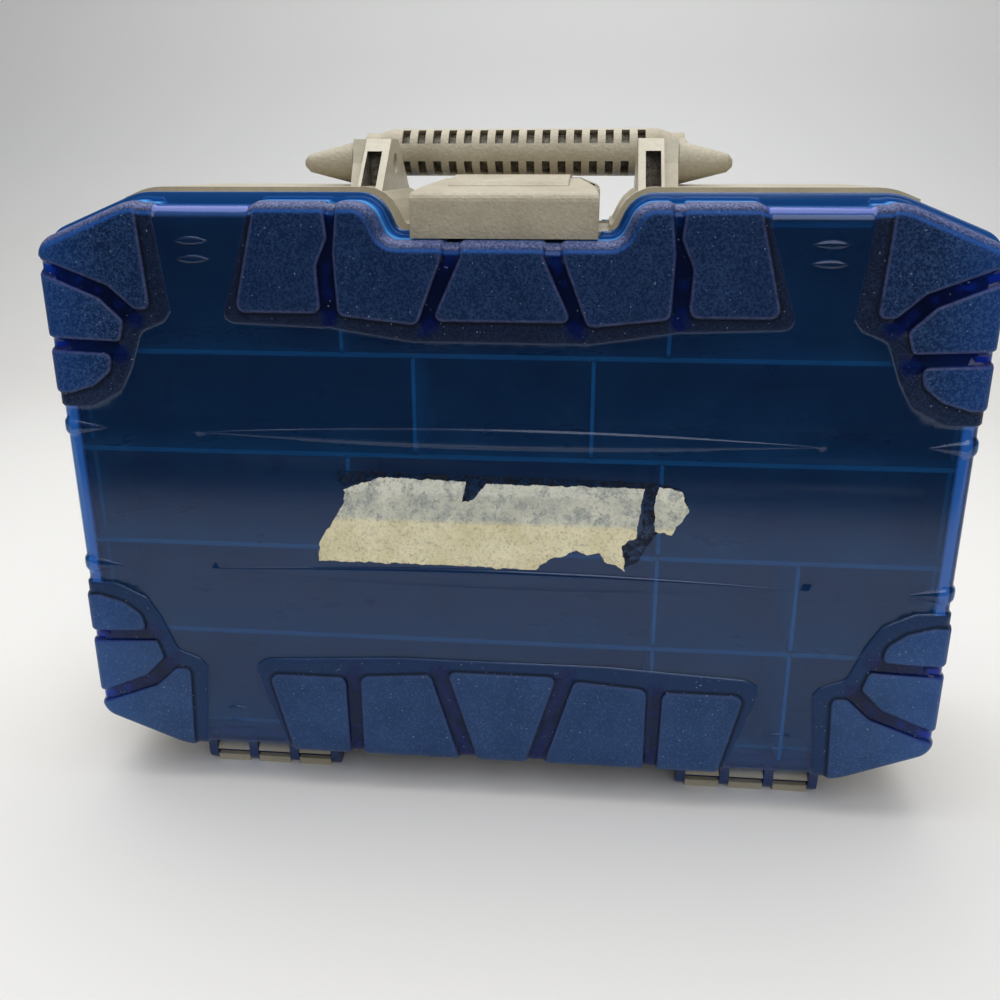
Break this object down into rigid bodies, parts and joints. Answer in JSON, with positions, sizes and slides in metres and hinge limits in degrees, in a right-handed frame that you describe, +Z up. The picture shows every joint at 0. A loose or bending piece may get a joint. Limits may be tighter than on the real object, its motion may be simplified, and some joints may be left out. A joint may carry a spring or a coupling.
{
  "type": "double-sided tackle case",
  "caption": "Upright two-sided tackle case: a beige body with divided trays, a clear blue hinged lid on each face, flip latches on top and a folding bail handle.",
  "frame": {"origin": "centre of the case's footprint, on the surface that its lower hinges stand on", "axes": "+X runs to the right across the front lid, +Y from the front lid to the rear lid, +Z up to the handle"},
  "size_m": [0.458, 0.146, 0.3486],
  "materials": {
    "body_plastic": "moulded, satin, beige",
    "divider_plastic": "moulded, satin, pale beige",
    "latch_plastic": "moulded, fine pebble grain, beige",
    "lid_plastic": "clear tinted blue, glossy with grained pads",
    "pin_steel": "drawn wire"
  },
  "bodies": {
    "case": {"case_body": "body_plastic", "mid_wall": "body_plastic", "front_row_walls": "body_plastic", "rear_row_walls": "body_plastic", "front_dividers": "divider_plastic", "rear_dividers": "divider_plastic", "front_hinge_clips": "body_plastic", "rear_hinge_clips": "body_plastic", "left_tower": "body_plastic", "right_tower": "body_plastic", "latch_hinge_block": "body_plastic", "front_latch_pin": "pin_steel", "rear_latch_pin": "pin_steel"},
    "front_lid_body": {"front_lid": "lid_plastic", "front_hinge_lugs": "lid_plastic"},
    "rear_lid_body": {"rear_lid": "lid_plastic", "rear_hinge_lugs": "lid_plastic"},
    "front_latch_body": {"front_latch": "latch_plastic"},
    "rear_latch_body": {"rear_latch": "latch_plastic"},
    "handle": {"handle_grip": "latch_plastic", "left_handle_arm": "latch_plastic", "right_handle_arm": "latch_plastic", "left_pivot_cone": "latch_plastic", "right_pivot_cone": "latch_plastic"}
  },
  "joints": [
    {"name": "front_lid_hinge", "type": "hinge", "parent": "case", "child": "front_lid_body", "pos_m": [0, -0.047, 0.006], "axis": [1, 0, 0], "range_deg": [0, 90]},
    {"name": "rear_lid_hinge", "type": "hinge", "parent": "case", "child": "rear_lid_body", "pos_m": [0, 0.047, 0.006], "axis": [-1, 0, 0], "range_deg": [0, 90]},
    {"name": "front_latch_hinge", "type": "hinge", "parent": "case", "child": "front_latch_body", "pos_m": [0, -0.0065, 0.313], "axis": [-1, 0, 0], "range_deg": [0, 75]},
    {"name": "rear_latch_hinge", "type": "hinge", "parent": "case", "child": "rear_latch_body", "pos_m": [0, 0.0065, 0.313], "axis": [1, 0, 0], "range_deg": [0, 5]},
    {"name": "handle_swing", "type": "hinge", "parent": "case", "child": "handle", "pos_m": [0, 0, 0.3304], "axis": [1, 0, 0], "range_deg": [0, 169]}
  ]
}
